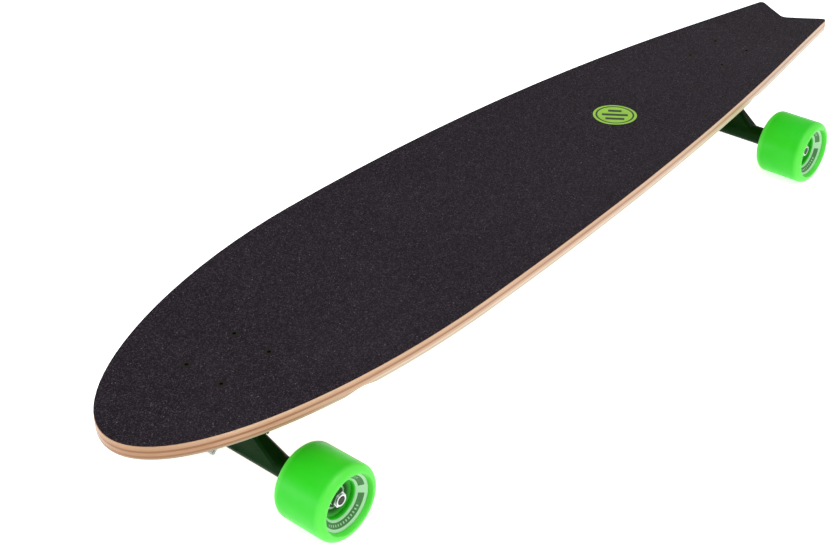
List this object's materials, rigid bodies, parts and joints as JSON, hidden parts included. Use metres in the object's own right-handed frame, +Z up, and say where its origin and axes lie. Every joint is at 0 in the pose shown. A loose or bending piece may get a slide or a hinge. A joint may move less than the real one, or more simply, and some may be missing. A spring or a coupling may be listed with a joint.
{
  "type": "skateboard",
  "caption": "Fishtail longboard: pressed maple deck with grip tape on two sprung reverse-kingpin trucks with rolling urethane wheels.",
  "frame": {"origin": "on the ground, midway between the nose and the tail tips and on the centre line, where the four wheels stand", "axes": "+X towards the rounded nose, +Y to the left of a rider who faces the nose, +Z up from the ground"},
  "size_m": [1.067, 0.2644, 0.1327],
  "materials": {
    "maple": "clear-lacquered maple plies with darker glue lines on the edge",
    "grip": "black silicon-carbide grit, very rough",
    "urethane": "bright green cast urethane, slightly translucent, smooth",
    "bearing_steel": "ground bearing steel",
    "shield": "black seal",
    "spacer": "turned",
    "zinc_steel": "zinc plated",
    "axle_steel": "ground, threaded ends",
    "truck_paint": "very dark green gloss powder coat",
    "cup_plastic": "moulded",
    "bushing": "black urethane",
    "riser": "moulded, satin",
    "black_steel": "black oxide"
  },
  "bodies": {
    "board": {"deck": "maple", "front_baseplate": "truck_paint", "front_boardside_bushing": "bushing", "front_boardside_washer": "zinc_steel", "front_kingpin": "zinc_steel", "front_kingpin_nut": "zinc_steel", "front_mounting_bolts": "black_steel", "front_mounting_nuts": "zinc_steel", "front_pivot_cup": "cup_plastic", "front_riser_pad": "riser", "front_roadside_bushing": "bushing", "front_roadside_washer": "zinc_steel", "grip_tape": "grip", "rear_baseplate": "truck_paint", "rear_boardside_bushing": "bushing", "rear_boardside_washer": "zinc_steel", "rear_kingpin": "zinc_steel", "rear_kingpin_nut": "zinc_steel", "rear_mounting_bolts": "black_steel", "rear_mounting_nuts": "zinc_steel", "rear_pivot_cup": "cup_plastic", "rear_riser_pad": "riser", "rear_roadside_bushing": "bushing", "rear_roadside_washer": "zinc_steel"},
    "front_hanger": {"front_axle": "axle_steel", "front_hanger": "truck_paint", "front_left_axle_nut": "zinc_steel", "front_left_inner_races": "bearing_steel", "front_left_spacer": "spacer", "front_left_speed_washers": "zinc_steel", "front_right_axle_nut": "zinc_steel", "front_right_inner_races": "bearing_steel", "front_right_spacer": "spacer", "front_right_speed_washers": "zinc_steel"},
    "rear_hanger": {"rear_axle": "axle_steel", "rear_hanger": "truck_paint", "rear_left_axle_nut": "zinc_steel", "rear_left_inner_races": "bearing_steel", "rear_left_spacer": "spacer", "rear_left_speed_washers": "zinc_steel", "rear_right_axle_nut": "zinc_steel", "rear_right_inner_races": "bearing_steel", "rear_right_spacer": "spacer", "rear_right_speed_washers": "zinc_steel"},
    "front_left_wheel": {"front_left_bearing_shields": "shield", "front_left_outer_races": "bearing_steel", "front_left_wheel": "urethane"},
    "front_right_wheel": {"front_right_bearing_shields": "shield", "front_right_outer_races": "bearing_steel", "front_right_wheel": "urethane"},
    "rear_left_wheel": {"rear_left_bearing_shields": "shield", "rear_left_outer_races": "bearing_steel", "rear_left_wheel": "urethane"},
    "rear_right_wheel": {"rear_right_bearing_shields": "shield", "rear_right_outer_races": "bearing_steel", "rear_right_wheel": "urethane"}
  },
  "joints": [
    {"name": "front_steer", "type": "hinge", "parent": "board", "child": "front_hanger", "pos_m": [0.41038, 0, 0.06369], "axis": [0.6657, 0, 0.7462], "range_deg": [-20, 20], "stiffness_Nm_per_rad": 60, "deforming": ["front_boardside_bushing", "front_roadside_bushing"]},
    {"name": "rear_steer", "type": "hinge", "parent": "board", "child": "rear_hanger", "pos_m": [-0.36358, 0, 0.06369], "axis": [-0.6657, 0, 0.7462], "range_deg": [-20, 20], "stiffness_Nm_per_rad": 60, "deforming": ["rear_boardside_bushing", "rear_roadside_bushing"]},
    {"name": "front_left_spin", "type": "hinge", "parent": "front_hanger", "child": "front_left_wheel", "pos_m": [0.40649, 0.10475, 0.035], "axis": [0, 1, 0], "continuous": true},
    {"name": "front_right_spin", "type": "hinge", "parent": "front_hanger", "child": "front_right_wheel", "pos_m": [0.40649, -0.10475, 0.035], "axis": [0, 1, 0], "continuous": true},
    {"name": "rear_left_spin", "type": "hinge", "parent": "rear_hanger", "child": "rear_left_wheel", "pos_m": [-0.35969, 0.10475, 0.035], "axis": [0, 1, 0], "continuous": true},
    {"name": "rear_right_spin", "type": "hinge", "parent": "rear_hanger", "child": "rear_right_wheel", "pos_m": [-0.35969, -0.10475, 0.035], "axis": [0, 1, 0], "continuous": true}
  ]
}
